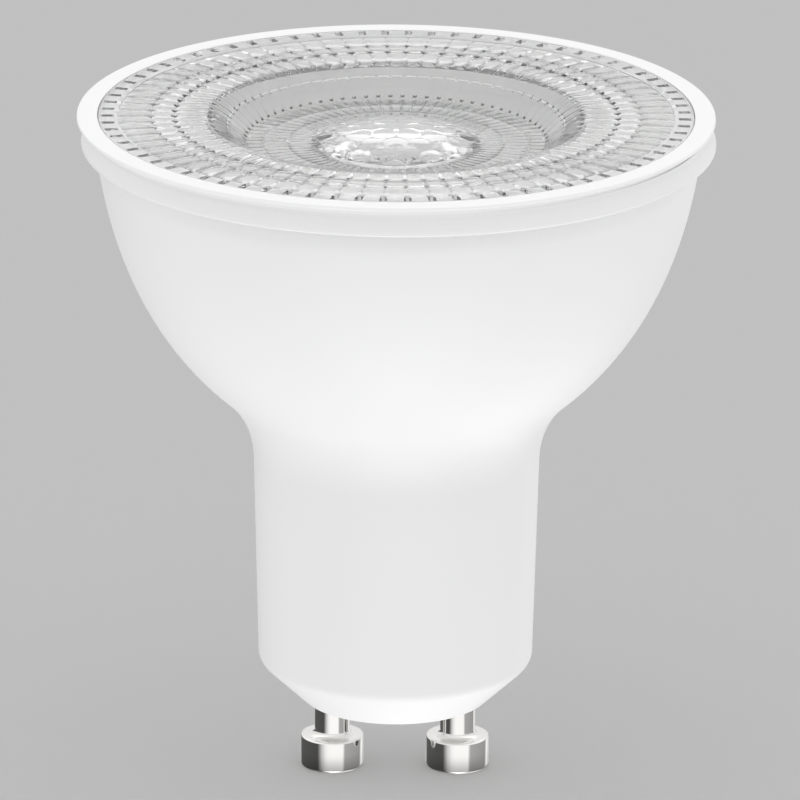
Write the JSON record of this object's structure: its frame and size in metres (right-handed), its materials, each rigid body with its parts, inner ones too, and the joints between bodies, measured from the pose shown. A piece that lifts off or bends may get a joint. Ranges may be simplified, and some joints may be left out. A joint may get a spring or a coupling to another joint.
{
  "type": "gu10 spotlight bulb",
  "caption": "Mains spotlight lamp with a two-pin twist-lock base, a neck that flares into a white bowl, and a clear faceted lens held by a front ring.",
  "frame": {"origin": "on the housing's axis, in the plane of the two pin tips", "axes": "+Z from the pins to the lens, X through both pins, Y across them"},
  "size_m": [0.05, 0.05, 0.0542],
  "materials": {
    "body_white": "satin white moulded plastic",
    "ring_white": "satin white moulded plastic",
    "lens_clear": "clear moulded plastic with polished facets",
    "cup_aluminium": "pressed bare aluminium, satin",
    "pad_grey": "soft grey silicone sheet",
    "board_white": "white mask over an aluminium core",
    "plate_white": "white ceramic plate with a raised ring",
    "coating_cream": "pale cream silicone coating",
    "screw_steel": "zinc-plated steel",
    "board_green": "green mask over glass-fibre laminate",
    "can_sleeve": "dark shrunk sleeve on an aluminium can",
    "core_ferrite": "dark sintered ferrite",
    "winding_copper": "enamelled copper wire",
    "box_grey": "moulded grey case",
    "resistor_coat": "baked lacquer on a ceramic rod",
    "chip_black": "moulded black epoxy",
    "lead_white": "white insulated wire",
    "pin_nickel": "bright nickel-plated brass"
  },
  "bodies": {
    "root": {"housing": "body_white", "front_ring": "ring_white", "lens": "lens_clear", "heat_sink": "cup_aluminium", "thermal_pad": "pad_grey", "led_board": "board_white", "led_package": "plate_white", "led_phosphor": "coating_cream", "board_screws": "screw_steel", "driver_board": "board_green", "bulk_capacitor": "can_sleeve", "output_capacitor": "can_sleeve", "inductor_core": "core_ferrite", "inductor_winding": "winding_copper", "film_capacitor": "box_grey", "fusible_resistor": "resistor_coat", "bridge_rectifier": "chip_black", "driver_chip": "chip_black", "input_lead_left": "lead_white", "input_lead_right": "lead_white", "output_lead_left": "lead_white", "output_lead_right": "lead_white", "pin_left": "pin_nickel", "pin_right": "pin_nickel"}
  },
  "joints": []
}
